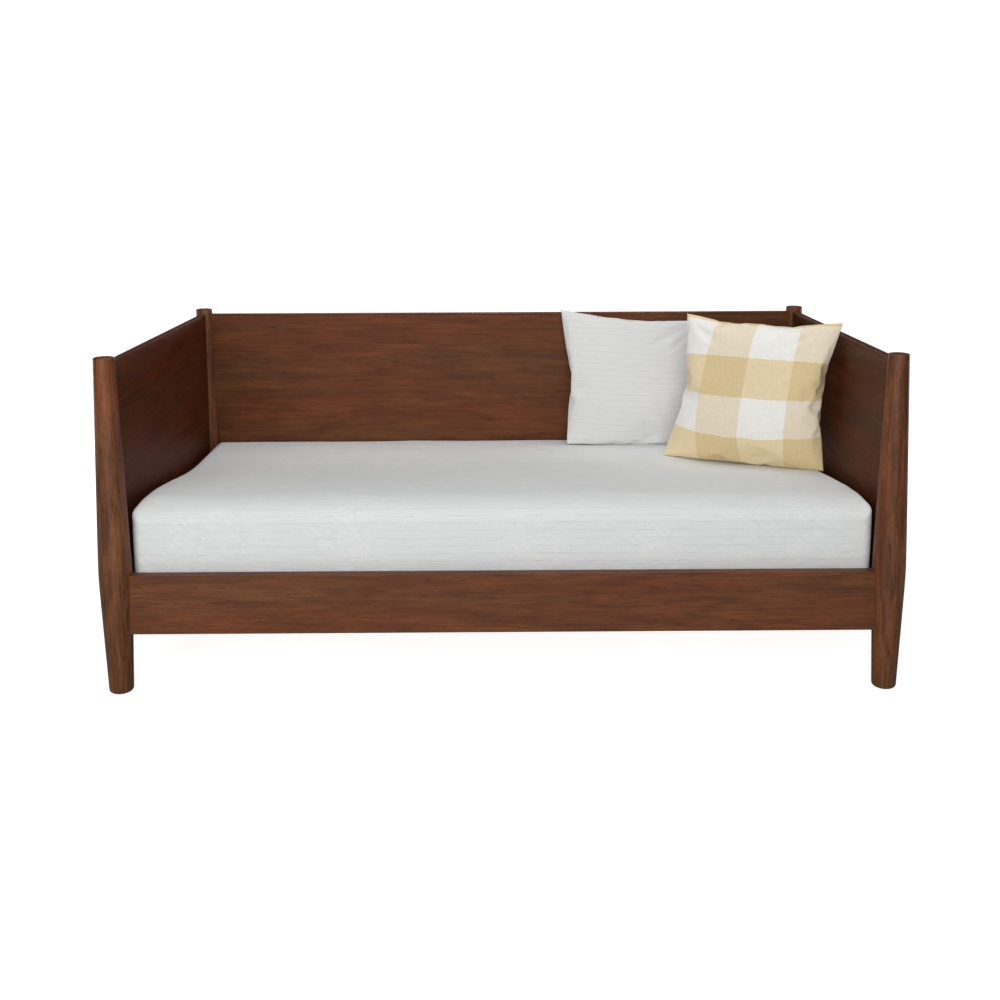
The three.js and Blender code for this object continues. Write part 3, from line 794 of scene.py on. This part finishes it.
def cushion_frame(tips):
    """Unit directions across, up and out of the front of a cushion."""
    low = Vector(tips["bottom_right"]) - Vector(tips["bottom_left"])
    high = Vector(tips["top_right"]) - Vector(tips["top_left"])
    left = Vector(tips["top_left"]) - Vector(tips["bottom_left"])
    right = Vector(tips["top_right"]) - Vector(tips["bottom_right"])
    across, up = (low + high).normalized(), (left + right).normalized()
    return across, up, across.cross(up).normalized()


def edge_gap(s, t):
    """How far the seam along the bottom has pulled up, at each s."""
    rim = np.lexsort((t, np.round(s * CUSHION_CELLS)))
    columns = np.round(s[rim] * CUSHION_CELLS)
    first = np.concatenate([[True], np.diff(columns) > 0])
    return np.interp(s, s[rim][first], t[rim][first])


def hang(points, tips, thickness, sag):
    """Maps a cushion's own x, y, z onto the quad between its corner tips.

    The bottom seam is let down onto the mattress, and the filling sags a little
    but leaves the cushion thin along that seam.
    """
    corners = {k: np.array(v) for k, v in tips.items()}
    half = TIP_SHARE * abs(points[:, :2]).max(axis=0)
    s = (points[:, 0] / half[0] + 1) / 2
    t = (points[:, 1] / half[1] + 1) / 2
    pulled = edge_gap(s, t)
    t = t - pulled * ((1 - t) / (1 - pulled)) ** 2
    filled = np.clip(t / THIN_HEM, 0, 1)
    depth = points[:, 2] / np.ptp(points[:, 2]) * thickness * (1 + sag * (0.5 - t))
    depth *= THIN_SHARE + (1 - THIN_SHARE) * filled * (2 - filled)
    s, t, depth = s[:, None], t[:, None], depth[:, None]
    low = corners["bottom_left"] * (1 - s) + corners["bottom_right"] * s
    high = corners["top_left"] * (1 - s) + corners["top_right"] * s
    out = -np.array(cushion_frame(tips)[2])
    return low * (1 - t) + high * t + depth * out


def striped_cotton(name):
    """Washed white cotton with fine grey pinstripes."""
    f = Finish(name, sheen_weight=0.15, sheen_roughness=0.5)
    cloth = f.attribute("fabric")
    wander = f.math("MULTIPLY", f.math("SUBTRACT", f.noise(cloth, 6.0, 2.0), 0.5), 0.004)
    along_y = f.math("ADD", f.axis(cloth, 1), wander)
    phase = f.math("FRACT", f.math("DIVIDE", along_y, CUSHION_STRIPE_PITCH))
    line = f.remap(f.math("ABSOLUTE", f.math("SUBTRACT", phase, 0.5)), 0.01, 0.08, 1.0, 0.0)
    slub = f.noise(f.stretch(cloth, (20, 300, 1)), 1.0, 3.0)
    line = f.math("MULTIPLY", line, f.remap(slub, 0.3, 0.55, 0.4, 1.0))
    base = f.mix(f.math("MULTIPLY", line, 0.30), colour("dededd"), colour("b6b8ba"))
    base = f.shade(base, f.remap(slub, 0.3, 0.7, 0.97, 1.02))
    thread = f.noise(cloth, 900.0, 2.0)
    return f.done(base_color=base, roughness=f.remap(thread, 0.3, 0.7, 0.8, 0.95),
                  normal=f.bump(line, -0.0006, 0.4, f.bump(thread, 0.0005, 0.25)))


# The check's bands: how wide they are, and where one starts from the left or bottom seam.
COLUMN_BAND, COLUMN_START = 0.132, 0.120
ROW_BAND, ROW_START = 0.122, 0.119


def checked_cotton(name):
    """Yarn-dyed check: wide beige bands one way and gold ones the other."""
    f = Finish(name, sheen_weight=0.25, sheen_roughness=0.4)
    cloth = f.attribute("fabric")

    def bands(axis, band, start):
        """1 inside a coloured band and 0 between bands, with soft edges."""
        from_edge = f.math("ADD", f.axis(cloth, axis), CUSHION_SIZE / 2 - start)
        wobble = f.noise(f.stretch(cloth, (90, 90, 1)), 1.0, 2.0)
        ragged = f.math("MULTIPLY", f.math("SUBTRACT", wobble, 0.5), 0.004)
        phase = f.math("FRACT", f.math("DIVIDE", f.math("ADD", from_edge, ragged), 2 * band))
        return f.remap(f.math("ABSOLUTE", f.math("SUBTRACT", phase, 0.25)), 0.244, 0.256, 1.0, 0.0)

    columns = bands(0, COLUMN_BAND, COLUMN_START)
    rows = f.math("SUBTRACT", 1.0, bands(1, ROW_BAND, ROW_START))
    slub_up = f.noise(f.stretch(cloth, (420, 30, 1)), 1.0, 3.0)
    slub_across = f.noise(f.stretch(cloth, (30, 420, 1)), 1.0, 3.0)
    base = f.mix(columns, colour("f1efea"), colour("e8dcc4"))
    base = f.mix(rows, base, f.mix(columns, colour("e8d6ae"), colour("dcc596")))
    base = f.shade(base, f.remap(slub_up, 0.3, 0.7, 0.96, 1.03))
    base = f.shade(base, f.remap(slub_across, 0.3, 0.7, 0.96, 1.03))
    thread = f.noise(cloth, 800.0, 2.0)
    return f.done(base_color=base, roughness=f.remap(thread, 0.3, 0.7, 0.6, 0.8),
                  normal=f.bump(slub_across, 0.0004, 0.3, f.bump(thread, 0.0004, 0.2)))


def make_cushion(name, node, tips, material, pressure, thickness, sag=0.30):
    """A cushion inflated from a flat case and hung between its corner tips."""
    mesh = flat_cushion(name, CUSHION_SIZE, belly=0.06)
    mesh.materials.append(material)
    piece = new_object(name, mesh, node)
    rest = np.array([v.co for v in mesh.vertices])
    is_tip = abs(rest[:, :2]).min(axis=1) > CUSHION_SIZE / 2 - 1e-6
    frames = 30
    shape = inflate(piece, pressure, frames)
    shape[:, 2] += np.sign(rest[:, 2]) * gathers(rest)
    mesh.vertices.foreach_set("co", hang(shape, tips, thickness, sag).ravel())
    pointed = mesh.attributes.new("crease_vert", "FLOAT", "POINT")
    pointed.data.foreach_set("value", is_tip.astype(np.float32))
    mesh.update()
    smooth = piece.modifiers.new("smooth cloth", "SUBSURF")
    smooth.levels = smooth.render_levels = 1
    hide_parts(node)


# -------------------------------------------------------------------- studio


STAGE_REACH = 11.0


def make_camera():
    """A camera a little above the bed, looking at it from the front."""
    data = bpy.data.cameras.new("camera")
    data.sensor_width, data.lens = 36.0, 42.36
    data.shift_y = -0.149
    data.clip_end = 60
    camera = bpy.data.objects.new("camera", data)
    bpy.context.scene.collection.objects.link(camera)
    yaw, pitch, roll = (math.radians(a) for a in (0.35, 8.71, -0.23))
    ahead = Vector((math.sin(yaw) * math.cos(pitch), math.cos(yaw) * math.cos(pitch), -math.sin(pitch)))
    right = Vector((math.cos(yaw), -math.sin(yaw), 0))
    up = right.cross(ahead)
    tilted = right * math.cos(roll) + up * math.sin(roll)
    upright = up * math.cos(roll) - right * math.sin(roll)
    turn = Matrix((tilted, upright, -ahead)).transposed().to_4x4()
    camera.matrix_world = Matrix.Translation((-0.023, -3.4155, 1.335)) @ turn
    bpy.context.scene.camera = camera


def area_light(name, place, target, size, power):
    """A rectangular soft light that the camera doesn't see."""
    data = bpy.data.lights.new(name, "AREA")
    data.shape = "RECTANGLE"
    data.size, data.size_y = size
    data.energy = power
    light = bpy.data.objects.new(name, data)
    bpy.context.scene.collection.objects.link(light)
    light.location = place
    light.rotation_mode = "QUATERNION"
    light.rotation_quaternion = (Vector(target) - Vector(place)).to_track_quat("-Z", "Y")
    light.visible_camera = False


def stage_white(name, albedo, near_glow, far_glow):
    """A matt white that glows for the camera, and lights nothing. The glow grows outwards."""
    f = Finish(name, base_color=(albedo,) * 3 + (1,), roughness=1.0, emission_color=(1, 1, 1, 1))
    f.shader.inputs["Specular IOR Level"].default_value = 0.0
    seen = f.node("LightPath", {}, "Is Camera Ray")
    distance = f.node("VectorMath", {0: f.place()}, "Value", operation="LENGTH")
    glow = f.remap(distance, 1.2, 3.0, near_glow, far_glow)
    return f.done(emission_strength=f.math("MULTIPLY", seen, glow))


def make_stage():
    """A pale floor and a white surround that only the camera sees."""
    floor_mesh = box_mesh("floor", (-STAGE_REACH, -STAGE_REACH, -0.02), (STAGE_REACH, STAGE_REACH, 0.0))
    floor = bpy.data.objects.new("floor", floor_mesh)
    floor.data.materials.append(stage_white("pale_floor", 0.55, 0.85, 1.10))
    lower = [(STAGE_REACH * s, -STAGE_REACH * c) for s, c in quarter_turn(8)[1:]]
    upper = [(STAGE_REACH * c, STAGE_REACH * s) for s, c in quarter_turn(8)[1:-1]]
    points, faces = lathe([(0, -STAGE_REACH), *lower, *upper, (0, STAGE_REACH)], 48, (0, 0))
    surround = bpy.data.objects.new("surround", mesh_from("surround", points, faces))
    surround.data.materials.append(stage_white("white_surround", 0.0, 1.2, 1.2))
    surround.visible_diffuse = False
    surround.visible_glossy = False
    surround.visible_shadow = False
    for item in (floor, surround):
        bpy.context.scene.collection.objects.link(item)


def make_light():
    """Soft studio light: a wide key from the front, an overhead, and low fills behind."""
    world = bpy.data.worlds.new("studio")
    world.use_nodes = True
    world.node_tree.nodes["Background"].inputs["Color"].default_value = (1, 1, 1, 1)
    world.node_tree.nodes["Background"].inputs["Strength"].default_value = 0.08
    bpy.context.scene.world = world
    bpy.context.scene.view_settings.view_transform = "Standard"
    area_light("key", (-0.6, -4.0, 1.8), (0.1, 0.2, 0.5), (4.0, 2.2), 140)
    area_light("overhead", (0.1, 0.4, 3.4), (0, 0.2, 0.4), (3.0, 2.0), 50)
    area_light("left fill", (-3.3, 1.9, 0.45), (-1.0, 0.3, 0.4), (1.8, 0.6), 30)
    area_light("right fill", (3.3, 1.9, 0.45), (1.0, 0.3, 0.4), (1.8, 0.6), 30)
    area_light("rear fill", (0, 3.8, 0.8), (0, 0.5, 0.5), (3.0, 1.0), 34)


# ------------------------------------------------------------------ assembly

make_camera()
make_stage()
make_light()
make_posts()
make_boards()
make_mattress_support()
make_straps()
make_core()
make_cover()
make_cushion("striped_cushion", "left_pillow", LEFT_CUSHION,
             striped_cotton("pinstripe"), pressure=2.0, thickness=0.105)
make_cushion("checked_cushion", "right_pillow", RIGHT_CUSHION,
             checked_cotton("yarn_check"), pressure=3.8, thickness=0.130)
